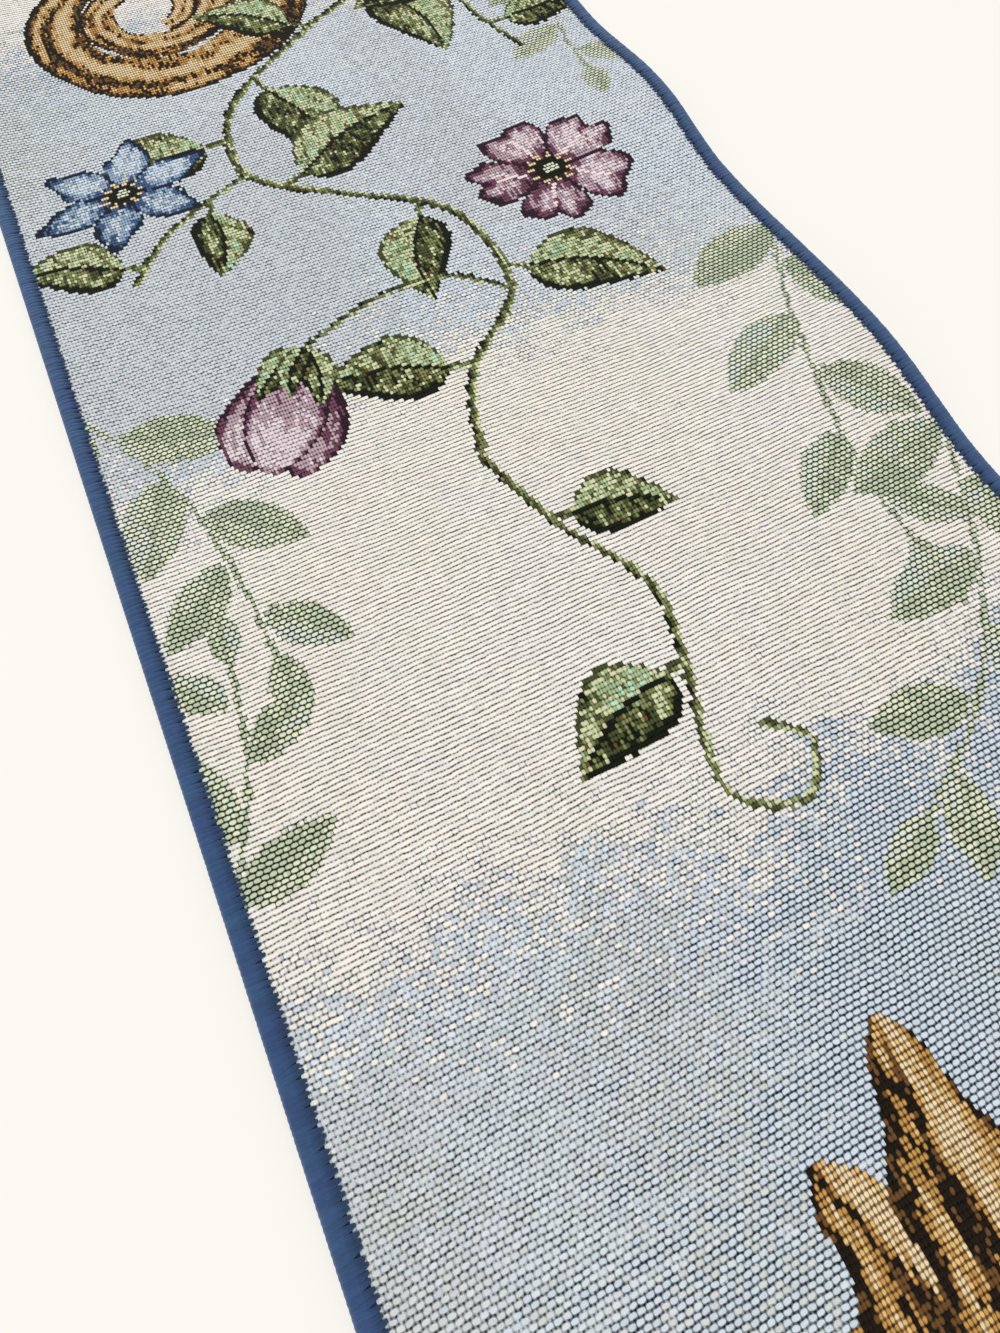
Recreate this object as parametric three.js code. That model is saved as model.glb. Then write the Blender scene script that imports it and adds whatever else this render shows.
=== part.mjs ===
// A woven tapestry bell pull lying loosely on a flat surface: one long strip of jacquard
// cloth whose four cut edges are wrapped in a thick overlocked edging.
// Frame: +Z up, +Y along the strip towards the end that hangs uppermost, X across it.
// The origin is at the middle of the strip, on the surface that it rests on.

import * as THREE from "three";

// Driving sizes, in millimetres.
const WIDTH = 203; // over the edging, side to side
const LENGTH = 914; // over the edging, end to end
const CLOTH_THICK = 1.2; // the woven cloth
const EDGING_WIDTH = 4.8; // how far the edging reaches in over the cloth
const LIP_THICK = 0.5; // edging thread above and below the cloth
const WALL_THICK = 0.9; // edging thread outside the cloth's cut edge
const GAP = 0.3; // clearance between neighbouring pieces

// Sizes that follow from them.
const EDGE_REST = LIP_THICK + GAP; // the lower lip holds the cloth's edge this far up
const CUT_INSET = WALL_THICK + GAP; // the cloth's cut edge lies this far inside the outline
const EDGING_HEIGHT = CLOTH_THICK + 2 * EDGE_REST;
const SLOT_HEIGHT = CLOTH_THICK + 2 * GAP;

// How the strip settles, and how finely its curves are divided.
const SETTLE = 14; // the cloth comes down from its edging to the surface over this distance
const ROW_SPACING = 16; // between cross-sections along the strip, at most
const COLUMN_SPACING = 14; // between the lines that run along the cloth, at most

// The overlocked sides are a little longer than the cloth between them, so they ruffle. Each
// row is one low crest: it leaves the surface at `from`, is highest at `top` and is down
// again at `to`, all measured along Y. It rises by `rise` at the edging and fades out over
// `reach` towards the middle of the cloth.
const RIGHT_CRESTS = [
  { from: -438, top: -398, to: -352, rise: 2.2, reach: 46 },
  { from: -352, top: -291, to: -236, rise: 3.1, reach: 58 },
  { from: -236, top: -190, to: -142, rise: 2.4, reach: 48 },
  { from: -130, top: -72, to: -2, rise: 2.8, reach: 54 },
  { from: -2, top: 44, to: 118, rise: 3.7, reach: 64 },
  { from: 118, top: 156, to: 204, rise: 3.4, reach: 56 },
  { from: 204, top: 268, to: 322, rise: 2.6, reach: 52 },
  { from: 334, top: 384, to: 436, rise: 1.9, reach: 44 },
];
const LEFT_CRESTS = [
  { from: -424, top: -345, to: -258, rise: 1.3, reach: 40 },
  { from: 232, top: 318, to: 396, rise: 1.5, reach: 44 },
];

const CLOTH_COLOUR = 0xc9cfd2; // pale blue and ivory cotton, as it looks from afar
const EDGING_COLOUR = 0x3c5a8f; // mid blue overlock thread

// 1 at t = 0, falling smoothly to 0 at t = 1 and beyond.
function fade(t) {
  return 0.5 + 0.5 * Math.cos(Math.PI * THREE.MathUtils.clamp(t, 0, 1));
}

// Height of a side's crests at y, at a distance inwards from its edging.
function crestHeight(crests, y, inward) {
  return crests.reduce((sum, { from, top, to, rise, reach }) => {
    const along = y < top ? (top - y) / (top - from) : (y - top) / (to - top);
    return sum + rise * fade(along) * fade(inward / reach);
  }, 0);
}

// How far the cloth's underside is above the surface at (x, y).
function lift(x, y) {
  const inwardX = Math.max(0, WIDTH / 2 - EDGING_WIDTH - Math.abs(x));
  const inwardY = Math.max(0, LENGTH / 2 - EDGING_WIDTH - Math.abs(y));
  const atEdge = EDGE_REST * fade(Math.min(inwardX, inwardY) / SETTLE);
  return atEdge + crestHeight(x > 0 ? RIGHT_CRESTS : LEFT_CRESTS, y, inwardX);
}

// Where the grid lines cross a span: close together under the edging and where the cloth
// settles, then evenly spaced between the two.
function gridLines(span, spacing) {
  const settled = span / 2 - EDGING_WIDTH - SETTLE;
  const count = Math.ceil((2 * settled) / spacing);
  const middle = Array.from({ length: count + 1 }, (_, i) => settled * ((2 * i) / count - 1));
  const insets = [CUT_INSET, EDGING_WIDTH, EDGING_WIDTH + SETTLE / 2];
  const low = insets.map((inset) => inset - span / 2);
  const high = insets.map((inset) => span / 2 - inset).reverse();
  return [...low, ...middle, ...high];
}

// Moves every vertex of a geometry to where place(x, y, z) says.
function reshape(geometry, place) {
  const position = geometry.getAttribute("position");
  for (let i = 0; i < position.count; i++) {
    position.setXYZ(i, ...place(position.getX(i), position.getY(i), position.getZ(i)));
  }
  geometry.computeVertexNormals();
  return geometry;
}

// The cloth: a slab with one unit square to each cell of the grid, laid out on the grid's
// lines and raised by the lift.
function clothGeometry() {
  const columns = gridLines(WIDTH, COLUMN_SPACING);
  const rows = gridLines(LENGTH, ROW_SPACING);
  const across = columns.length - 1;
  const along = rows.length - 1;
  const slab = new THREE.BoxGeometry(across, along, CLOTH_THICK, across, along, 1);
  return reshape(slab, (column, row, z) => {
    const x = columns[Math.round(column + across / 2)];
    const y = rows[Math.round(row + along / 2)];
    return [x, y, z + CLOTH_THICK / 2 + lift(x, y)];
  });
}

// The edging's section: a C that wraps the cloth's edge. Its x runs inwards from the
// outline and its y up from the cloth's underside.
function edgingSection() {
  const low = -EDGE_REST;
  const high = low + EDGING_HEIGHT;
  const round = EDGING_HEIGHT * 0.36; // radius of the outer corners
  const nose = LIP_THICK * 0.6; // chamfer at the inner ends of the lips
  const section = new THREE.Shape();
  section.moveTo(WALL_THICK, -GAP);
  section.lineTo(EDGING_WIDTH, -GAP);
  section.lineTo(EDGING_WIDTH, low + nose);
  section.lineTo(EDGING_WIDTH - nose, low);
  section.lineTo(round, low);
  section.absarc(round, low + round, round, -Math.PI / 2, -Math.PI, true);
  section.absarc(round, high - round, round, Math.PI, Math.PI / 2, true);
  section.lineTo(EDGING_WIDTH - nose, high);
  section.lineTo(EDGING_WIDTH, high - nose);
  section.lineTo(EDGING_WIDTH, SLOT_HEIGHT - GAP);
  section.lineTo(WALL_THICK, SLOT_HEIGHT - GAP);
  section.closePath();
  return section;
}

// One straight run of edging, with mitred ends. It starts as a bar one unit long for each
// step along the grid. place(along, inset) gives the x and y of a point at a distance along
// the run and inside the outline.
function edgingGeometry(span, spacing, place) {
  const clearOfCorner = gridLines(span, spacing).slice(2, -2);
  const lines = [-span / 2, ...clearOfCorner, span / 2];
  const bar = new THREE.ExtrudeGeometry(edgingSection(), {
    depth: lines.length - 1,
    steps: lines.length - 1,
    curveSegments: 1,
    bevelEnabled: false,
  });
  return reshape(bar, (inset, height, step) => {
    const mitre = span / 2 - inset - GAP * Math.SQRT1_2;
    const along = THREE.MathUtils.clamp(lines[Math.round(step)], -mitre, mitre);
    const [x, y] = place(along, inset);
    return [x, y, height + lift(x, y)];
  });
}

// side is 1 on the right and -1 on the left. The two runs go opposite ways, so that both
// keep their faces outwards.
function sideEdging(side) {
  return edgingGeometry(LENGTH, ROW_SPACING, (along, inset) => [
    side * (WIDTH / 2 - inset),
    side * along,
  ]);
}

// end is 1 at the upper end and -1 at the lower, and these two go opposite ways as well.
function endEdging(end) {
  return edgingGeometry(WIDTH, COLUMN_SPACING, (along, inset) => [
    -end * along,
    end * (LENGTH / 2 - inset),
  ]);
}

function piece(name, geometry, color, roughness) {
  const material = new THREE.MeshStandardMaterial({ color, roughness, metalness: 0 });
  const mesh = new THREE.Mesh(geometry, material);
  mesh.name = name;
  return mesh;
}

const bellPull = new THREE.Group();
bellPull.add(
  piece("cloth", clothGeometry(), CLOTH_COLOUR, 0.9),
  piece("edging_right", sideEdging(1), EDGING_COLOUR, 0.85),
  piece("edging_left", sideEdging(-1), EDGING_COLOUR, 0.85),
  piece("edging_upper_end", endEdging(1), EDGING_COLOUR, 0.85),
  piece("edging_lower_end", endEdging(-1), EDGING_COLOUR, 0.85),
);

export default bellPull;
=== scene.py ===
"""A woven tapestry bell pull with an overlocked edge, lying loosely on a pale floor.

Run as a script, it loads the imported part, makes the cloth and its edging round it, and
sets up the floor, the light and the camera. Lengths are metres, but millimetres in the
woven design and in names that end in _MM.
"""

import math
from collections import namedtuple

import bmesh
import bpy
import numpy as np
from bpy.props import FloatProperty, FloatVectorProperty, IntProperty, PointerProperty
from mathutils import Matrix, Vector, noise


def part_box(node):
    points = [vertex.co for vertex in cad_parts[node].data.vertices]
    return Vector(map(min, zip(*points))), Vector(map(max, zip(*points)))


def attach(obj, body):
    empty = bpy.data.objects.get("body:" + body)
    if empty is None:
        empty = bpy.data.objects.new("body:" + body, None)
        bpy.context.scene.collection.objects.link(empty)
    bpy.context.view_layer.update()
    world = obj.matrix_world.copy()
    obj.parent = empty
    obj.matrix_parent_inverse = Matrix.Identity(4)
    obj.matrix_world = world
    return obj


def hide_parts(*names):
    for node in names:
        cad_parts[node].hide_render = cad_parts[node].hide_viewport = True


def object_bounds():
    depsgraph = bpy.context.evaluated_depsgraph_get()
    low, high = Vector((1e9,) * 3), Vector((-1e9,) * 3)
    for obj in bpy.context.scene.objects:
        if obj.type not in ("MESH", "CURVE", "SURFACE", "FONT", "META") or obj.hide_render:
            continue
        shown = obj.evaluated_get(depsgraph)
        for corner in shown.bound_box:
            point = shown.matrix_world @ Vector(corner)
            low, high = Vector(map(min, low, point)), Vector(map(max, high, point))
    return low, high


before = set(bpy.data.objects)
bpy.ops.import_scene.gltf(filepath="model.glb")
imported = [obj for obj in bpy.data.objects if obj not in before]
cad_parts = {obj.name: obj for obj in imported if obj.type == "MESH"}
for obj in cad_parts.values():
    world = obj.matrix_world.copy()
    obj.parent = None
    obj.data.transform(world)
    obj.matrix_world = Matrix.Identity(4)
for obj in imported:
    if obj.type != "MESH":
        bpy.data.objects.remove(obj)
CAD_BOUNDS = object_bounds()

bl_info = {
    "name": "Tapestry Bell Pull",
    "version": (1, 0, 0),
    "blender": (4, 5, 0),
    "location": "3D View > Sidebar > Bell Pull",
    "description": "A jacquard tapestry strip with an overlocked edge",
    "category": "Add Mesh",
}

MM = 0.001

# ---------------------------------------------------------------------------------------
# Sizes that the part's solids have too
# ---------------------------------------------------------------------------------------

STRIP_WIDTH = CAD_BOUNDS[1][0] - CAD_BOUNDS[0][0]
STRIP_LENGTH = CAD_BOUNDS[1][1] - CAD_BOUNDS[0][1]
CLOTH_LOW, CLOTH_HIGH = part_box("cloth")
CLOTH_WIDTH = CLOTH_HIGH[0] - CLOTH_LOW[0]
CLOTH_LENGTH = CLOTH_HIGH[1] - CLOTH_LOW[1]
CLOTH_THICK = 1.2 * MM
EDGING_WIDTH = 4.8 * MM
EDGE_REST = 0.8 * MM  # the edging holds the cloth's edge this far up
SETTLE = 14 * MM  # the cloth comes down to the surface over this distance

# Low crests of the ruffled sides: where each starts, is highest and ends along the strip,
# how high it is at the edging and how far in it reaches, in millimetres.
Crest = namedtuple("Crest", "start top end peak reach")
RIGHT_CRESTS_MM = (
    Crest(-438, -398, -352, 2.2, 46),
    Crest(-352, -291, -236, 3.1, 58),
    Crest(-236, -190, -142, 2.4, 48),
    Crest(-130, -72, -2, 2.8, 54),
    Crest(-2, 44, 118, 3.7, 64),
    Crest(118, 156, 204, 3.4, 56),
    Crest(204, 268, 322, 2.6, 52),
    Crest(334, 384, 436, 1.9, 44),
)
LEFT_CRESTS_MM = (
    Crest(-424, -345, -258, 1.3, 40),
    Crest(232, 318, 396, 1.5, 44),
)


def fade(t):
    """1 at t = 0, falling smoothly to 0 at t = 1 and beyond."""
    return 0.5 + 0.5 * np.cos(np.pi * np.clip(t, 0, 1))


def rise(value, start, end):
    """0 up to the start and 1 from the end on, with a straight rise between them."""
    return np.clip((value - start) / (end - start), 0, 1)


def crest_height(crests, y, inward):
    """Height of one side's crests at y, at a distance in from its edging."""
    height = 0
    for crest in crests:
        start, top, end, peak, reach = (MM * size for size in crest)
        along = np.where(y < top, (top - y) / (top - start), (y - top) / (end - top))
        height = height + peak * fade(along) * fade(inward / reach)
    return height


def lift(x, y):
    """How far the cloth's underside is above the floor."""
    inward_x = np.maximum(0, STRIP_WIDTH / 2 - EDGING_WIDTH - np.abs(x))
    inward_y = np.maximum(0, STRIP_LENGTH / 2 - EDGING_WIDTH - np.abs(y))
    at_edge = EDGE_REST * fade(np.minimum(inward_x, inward_y) / SETTLE)
    right = crest_height(RIGHT_CRESTS_MM, y, inward_x)
    left = crest_height(LEFT_CRESTS_MM, y, inward_x)
    return at_edge + np.where(x > 0, right, left)


# ---------------------------------------------------------------------------------------
# Yarns
# ---------------------------------------------------------------------------------------

# A yarn pair is what one cell of the weave shows: the colour of the yarn that floats on
# the face and of the gap beside it, and how far loose fibres veil that gap. The gap's colour is
# the warp seen there, with the shade deep between the floats painted into it. Ribs run on
# along a row, bricks are short floats set half a stitch over in every other row, and dots
# are half a stitch wide.
YarnPair = namedtuple("YarnPair", "name face gap structure veil", defaults=(1.0,))
RIB, BRICK, DOT = "rib", "brick", "dot"
YARN_PAIRS = (
    YarnPair("ivory", "#F5F0E8", "#211B16", RIB, 0.8),
    YarnPair("ivory_tied", "#F5F1EA", "#1E242E", RIB),
    YarnPair("mint_rib", "#BEDFC4", "#2F5A40", RIB),
    YarnPair("pink_rib", "#F6E6E4", "#8A6674", RIB),
    YarnPair("ivory_short", "#F3F0E9", "#253045", BRICK, 0.7),
    YarnPair("sky_light", "#D5DBE0", "#2A323E", BRICK),
    YarnPair("sky_blue", "#DEE5EC", "#293A50", BRICK),
    YarnPair("sky", "#DAE2E8", "#262F3A", BRICK, 0.85),
    YarnPair("sky_grey", "#D7DCDC", "#252D31", BRICK, 0.7),
    YarnPair("sky_deep", "#D4E0EB", "#0D1622", BRICK, 0.32),
    YarnPair("sprig_lime", "#E3E8CD", "#1D250A", BRICK, 0.08),
    YarnPair("sprig_mint", "#DDE7DA", "#152412", BRICK, 0.08),
    YarnPair("sprig_dark", "#C4CFB3", "#0F1505", BRICK, 0.05),
    YarnPair("leaf_fleck", "#D6DAAE", "#2F3A1A", BRICK),
    YarnPair("mauve_light", "#EADCE1", "#583A4C", BRICK),
    YarnPair("blue_light", "#D2DEE8", "#2F4A70", BRICK),
    YarnPair("leaf_light", "#AABF92", "#22341B", DOT),
    YarnPair("leaf_mid", "#848A57", "#1A220F", DOT),
    YarnPair("leaf_dark", "#4B5130", "#0D1206", DOT),
    YarnPair("leaf_black", "#171B0D", "#050602", DOT),
    YarnPair("mauve_mid", "#C3A9B3", "#3A1E2B", DOT),
    YarnPair("mauve_deep", "#75485D", "#240E17", DOT),
    YarnPair("plum", "#341D2B", "#10070C", DOT),
    YarnPair("rose", "#A8566A", "#381A23", DOT),
    YarnPair("blue_mid", "#9DB2C8", "#1F3354", DOT),
    YarnPair("blue_deep", "#43608A", "#10192E", DOT),
    YarnPair("navy", "#1B263B", "#060912", DOT),
    YarnPair("ochre_light", "#F4DDB2", "#5F3F18", DOT, 0.45),
    YarnPair("ochre_gold", "#E9C07E", "#4C3010", DOT, 0.45),
    YarnPair("ochre_mid", "#C99752", "#2C1A09", DOT, 0.45),
    YarnPair("brown", "#704D29", "#160D06", DOT),
    YarnPair("umber", "#20160A", "#070402", DOT),
)
YARN_NUMBER = {pair.name: number for number, pair in enumerate(YARN_PAIRS)}
RAMP_STEPS = 32  # the most stops that a colour ramp can hold

# Shades of each motif, from its dark side to its light one. The carved ochre has a second
# dark shade, which draws the lines between its strands.
LEAF = ("leaf_black", "leaf_dark", "leaf_mid", "leaf_fleck", "leaf_light", "mint_rib")
MAUVE = ("plum", "mauve_deep", "mauve_mid", "mauve_light")
BLUE = ("navy", "blue_deep", "blue_mid", "blue_light")
OCHRE = ("umber", "brown", "umber", "ochre_mid", "ochre_gold", "ochre_light")
SPRIG = ("sprig_dark", "sprig_lime", "sprig_mint")
STEM = ("leaf_black", "leaf_dark", "leaf_mid", "leaf_fleck", "leaf_light")


def linear(hex_colour):
    """An sRGB hex colour as linear red, green and blue."""
    channels = [int(hex_colour[i : i + 2], 16) / 255 for i in (1, 3, 5)]
    return tuple(c / 12.92 if c <= 0.04045 else ((c + 0.055) / 1.055) ** 2.4 for c in channels)


# ---------------------------------------------------------------------------------------
# The woven design, charted cell by cell
# ---------------------------------------------------------------------------------------


def soft_field(rng, shape, cell):
    """A smooth random field from -1 to 1 with a peak about every cell = (rows, columns)."""
    knots = rng.uniform(-1, 1, (int(shape[0] / cell[0]) + 3, int(shape[1] / cell[1]) + 3))
    rows = np.arange(shape[0]) / cell[0]
    columns = np.arange(shape[1]) / cell[1]
    i = rows.astype(int)
    j = columns.astype(int)
    down = fade(1 - (rows - i))[:, None]
    over = fade(1 - (columns - j))[None, :]
    upper = knots[np.ix_(i, j)] * (1 - over) + knots[np.ix_(i, j + 1)] * over
    lower = knots[np.ix_(i + 1, j)] * (1 - over) + knots[np.ix_(i + 1, j + 1)] * over
    return upper * (1 - down) + lower * down


def smooth_path(points, step):
    """Points about every step along a smooth curve through the given ones."""
    stations = [points[0], *points, points[-1]]
    path = []
    for before, start, end, after in zip(stations, stations[1:], stations[2:], stations[3:]):
        count = max(2, int(math.dist(start, end) / step))
        for i in range(count):
            t = i / count
            # The weights of the four points on a Catmull-Rom curve, doubled.
            weights = (
                -t + 2 * t**2 - t**3,
                2 - 5 * t**2 + 3 * t**3,
                t + 4 * t**2 - 3 * t**3,
                t**3 - t**2,
            )
            knots = (before, start, end, after)
            path.append(tuple(sum(w * k[n] for w, k in zip(weights, knots)) / 2 for n in (0, 1)))
    path.append(tuple(points[-1]))
    return path


def heading(start, end):
    """Direction from one point to another, in degrees from +Y towards +X."""
    return math.degrees(math.atan2(end[0] - start[0], end[1] - start[1]))


def step_on(point, turn, distance):
    """The point at a distance from another, in a direction."""
    angle = math.radians(turn)
    return (point[0] + math.sin(angle) * distance, point[1] + math.cos(angle) * distance)


class Chart:
    """The weave on point paper: one yarn pair for each half stitch of each row.

    Places and sizes are in millimetres from the middle of the cloth. Directions are in
    degrees from +Y, along the strip, towards +X.
    """

    def __init__(self, columns, rows, seed):
        self.rng = np.random.default_rng(seed)
        self.size = (rows, columns)
        self.width = CLOTH_WIDTH / MM
        self.length = CLOTH_LENGTH / MM
        row, column = np.mgrid[0:rows, 0:columns]
        self.float_number = (column + row % 2) // 2
        self.row = row
        self.x = (column + 0.5) * self.width / columns - self.width / 2
        self.y = (row + 0.5) * self.length / rows - self.length / 2
        self.speck = self.rng.uniform(-1, 1, self.size)
        self.streak = self.streaks()
        self.yarn = np.zeros(self.size, int)

    def streaks(self, run=3):
        """Random values that hold for a few rows at a time, each column on its own."""
        rows, columns = self.size
        values = np.repeat(self.rng.uniform(-1, 1, (rows // run + 2, columns)), run, axis=0)
        start = self.rng.integers(0, run, columns)
        return values[np.arange(rows)[:, None] + start, np.arange(columns)]

    def own_value(self):
        """A random value for each float, the same over its two half stitches."""
        rows, columns = self.size
        return self.rng.uniform(-1, 1, (rows, columns // 2 + 2))[self.row, self.float_number]

    def window(self, x, y, reach):
        """The part of the chart within reach of a point."""
        rows, columns = self.size
        low_x, high_x = ((x + way * reach) / self.width + 0.5 for way in (-1, 1))
        low_y, high_y = ((y + way * reach) / self.length + 0.5 for way in (-1, 1))
        over = np.clip((low_x * columns, high_x * columns + 2), 0, columns).astype(int)
        down = np.clip((low_y * rows, high_y * rows + 2), 0, rows).astype(int)
        return slice(*down), slice(*over)

    def local(self, window, x, y, turn):
        """Distance along and across a direction from a point."""
        dx = self.x[window] - x
        dy = self.y[window] - y
        sine = math.sin(math.radians(turn))
        cosine = math.cos(math.radians(turn))
        return dx * sine + dy * cosine, dx * cosine - dy * sine

    def leaf_patch(self, stalk, turn, length):
        """The part of the chart round a leaf or a bud, and its directions from the stalk."""
        window = self.window(*step_on(stalk, turn, length / 2), length * 0.75)
        return window, *self.local(window, *stalk, turn)

    def fill(self, window, mask, name):
        """One yarn pair wherever the mask is true."""
        self.yarn[window][mask] = YARN_NUMBER[name]

    def shade(self, window, mask, tone, names, spread):
        """The first of the names at tone 0 and the last at 1, with a dither between.

        spread is how many of the names the dither mixes.
        """
        dither = (0.65 * self.streak[window] + 0.35 * self.speck[window]) * spread / 2
        level = np.clip(np.floor(tone * len(names) + dither), 0, len(names) - 1).astype(int)
        numbers = np.array([YARN_NUMBER[name] for name in names])
        self.yarn[window][mask] = numbers[level][mask]


# Cream bands of the ground: where the middle of each is along the strip, half its height
# and how far it rises for each millimetre towards +X.
Band = namedtuple("Band", "middle half slope")
BAND_ARCH = 12  # how much less of a band there is near the long sides
CREAM_BANDS = (
    Band(20, 64, 0.02),
    Band(288, 26, -0.10),
    Band(-292, 58, -0.20),
    Band(440, 34, 0.15),
)

# The sky is deepest in slanting belts: how far apart they are, where one of them lies, how
# far they rise for each millimetre towards +X, and how deep they are. It is of the middle
# blue from the first depth on and of the deep blue from the second.
BELT_SPACING = 571.25
BELT_MIDDLE = -150
BELT_SLOPE = 0.8
BELT_DEPTH = 1.6
MIDDLE_BLUE = -0.20
DEEP_BLUE = 0.84

EVERYWHERE = (slice(None), slice(None))


def paint_sky(chart, sky, inside, own, other):
    """Blues in slanting belts, and greyer in places.

    inside says how far a cell lies inside a cream band, and own and other are two random
    values of its float.
    """
    rng, size = chart.rng, chart.size
    blue = 0.9 * soft_field(rng, size, (48, 42)) + 0.5 * own + 0.012 * chart.x - 0.1
    along = chart.y - BELT_MIDDLE - BELT_SLOPE * chart.x
    depth = BELT_DEPTH * np.cos(2 * math.pi * along / BELT_SPACING)
    depth = depth + 0.35 * soft_field(rng, size, (52, 50)) + 0.28 * other
    depth = depth + 0.40 * soft_field(rng, size, (1.6, 34))
    grey = blue + 0.6 * chart.own_value() < -0.95
    beside_band = (inside > -14) & (depth < 0.80) & (own > 0.1)
    chart.fill(EVERYWHERE, sky, "sky_light")
    chart.fill(EVERYWHERE, sky & (blue > 0.15), "sky_blue")
    chart.fill(EVERYWHERE, sky & (depth > MIDDLE_BLUE), "sky")
    chart.fill(EVERYWHERE, sky & (depth > DEEP_BLUE), "sky_deep")
    chart.fill(EVERYWHERE, sky & (depth > MIDDLE_BLUE) & grey, "sky_grey")
    chart.fill(EVERYWHERE, sky & beside_band, "sky_blue")


def paint_ground(chart):
    """Sky with cream bands, which break up into it float by float.

    Close to the edge of a band, on both sides of it, more of the floats are tied down or
    short.
    """
    rng, size = chart.rng, chart.size
    own = chart.own_value()
    other = chart.own_value()
    inside = np.max(
        [b.half - np.abs(chart.y - b.middle - b.slope * chart.x) for b in CREAM_BANDS], axis=0
    )
    inside = inside - BAND_ARCH * (chart.x / 100) ** 2
    inside = inside + 9 * soft_field(rng, size, (34, 30)) + 6 * soft_field(rng, size, (9, 12))
    blocks = 5 * soft_field(rng, size, (1.7, 5)) + 5 * soft_field(rng, size, (3, 11))
    cream = inside + blocks + 5.5 * np.sign(own) * np.abs(own) ** 2.2 > 0
    paint_sky(chart, ~cream, inside, own, other)

    from_edge = np.abs(inside + blocks)
    chance = 0.5 + 0.5 * other  # from 0 to 1
    tied = chance < 0.75 * np.exp(-from_edge / 14)
    short = chance < 0.85 * np.exp(-from_edge / np.where(cream, 6, 9))
    chart.fill(EVERYWHERE, cream, "ivory")
    chart.fill(EVERYWHERE, cream & tied, "ivory_tied")
    chart.fill(EVERYWHERE, short & (inside > -30), "ivory_short")


def paint_stroke(chart, points, width, names):
    """A stem: flecked, and light on one side and dark on the other."""
    path = smooth_path(points, 3)
    for start, end in zip(path, path[1:]):
        length = math.dist(start, end)
        window = chart.window(*start, length + 2 * width)
        along, across = chart.local(window, *start, heading(start, end))
        across = across + 0.45 * chart.speck[window]
        overlap = 0.3 * width
        mask = (along > -overlap) & (along < length + overlap) & (np.abs(across) < width / 2)
        chart.shade(window, mask, 0.42 - 0.55 * across / width, names, spread=2.8)


TOOTH_SPACING = 3.4  # from one tooth of a leaf's rim to the next
VEIN_SPACING = 6.2


def paint_leaf(chart, stalk, turn, length, width, lean):
    """A pointed oval leaf. lean is 1 or -1, the side that it bows to and that is light."""
    window, along, across = chart.leaf_patch(stalk, turn, length)
    t = np.clip(along / length, 0, 1)
    across = across - 0.10 * length * np.sin(np.pi * t) * lean
    half = width / 2 * np.sin(np.pi * t**0.72) ** 0.85 * (1 - 0.25 * t)
    teeth = 0.7 * np.abs(((along / TOOTH_SPACING) % 1) - 0.5) + 0.3 * chart.speck[window]
    out = np.abs(across) / np.maximum(half - teeth, 0.1)
    inside = (along > 0) & (along < length) & (out < 1)
    lit = across * lean > 0.2
    rim = rise(out, 0.60, 1)
    veins = np.abs(((along - 0.8 * np.abs(across)) / VEIN_SPACING) % 1 - 0.5) < 0.13
    blotch = soft_field(chart.rng, out.shape, (6, 6))
    near_rib = np.exp(-((across / 1.4) ** 2))
    tone = 0.68 + 0.16 * blotch - 0.22 * rim - 0.20 * veins - 0.10 * near_rib
    chart.shade(window, inside & lit, tone, LEAF, spread=2.6)
    tone = 0.34 + 0.16 * blotch - 0.22 * rim - 0.14 * near_rib + 0.16 * veins
    chart.shade(window, inside & ~lit, tone, LEAF, spread=3.2)
    chart.fill(window, inside & (chart.speck[window] < -0.95), "brown")
    outline = 1 - np.minimum(2.2 / np.maximum(half, 1), 0.26)
    chart.fill(window, inside & ~lit & (out > outline), "leaf_black")
    outline = 1 - np.minimum(1.2 / np.maximum(half, 1), 0.18)
    chart.fill(window, inside & lit & (out > outline) & (chart.streak[window] > -0.4), "leaf_dark")
    chart.fill(window, inside & (np.abs(across) < 0.5) & (t < 0.85), "leaf_black")


def paint_sprig_leaf(chart, stalk, turn, length, width):
    """A pale oval leaf, mottled light and dark."""
    window, along, across = chart.leaf_patch(stalk, turn, length)
    t = np.clip(along / length, 0, 1)
    half = width / 2 * np.sin(np.pi * t**0.85) ** 0.75
    across = across + 0.3 * chart.speck[window]
    inside = (along > 0) & (along < length) & (np.abs(across) < half)
    tone = 0.46 + chart.rng.uniform(-0.12, 0.12) + 0.15 * np.sign(across)
    tone = tone + 0.30 * soft_field(chart.rng, across.shape, (7, 8))
    tone = tone - 0.50 * np.exp(-((across / 0.8) ** 2))
    chart.shade(window, inside, tone, SPRIG, spread=1.9)


SPRIG_SPACING = 17  # from one leaf of a sprig to the next
SPRIG_TURN = 46  # degrees from a sprig's stem to its leaves


def paint_sprig(chart, points, leaf_length):
    """A pale spray with its leaves on alternate sides, shorter towards its tip."""
    paint_stroke(chart, points, 1.4, SPRIG[:2])
    path = smooth_path(points, SPRIG_SPACING)
    last = len(path) - 1
    for i, (start, end) in enumerate(zip(path, path[1:])):
        size = leaf_length * (1 - 0.4 * (i / last) ** 1.5)
        turn = heading(start, end) + (-1) ** i * (SPRIG_TURN + 8 * chart.rng.uniform(-1, 1))
        stalk = step_on(start, turn, 2)
        paint_sprig_leaf(chart, stalk, turn, size, size * 0.50)
    turn = heading(path[-2], path[-1])
    paint_sprig_leaf(chart, path[-1], turn, leaf_length * 0.6, leaf_length * 0.30)


VINE_TURN = 58  # degrees from a vine's stem to its leaves


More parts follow.
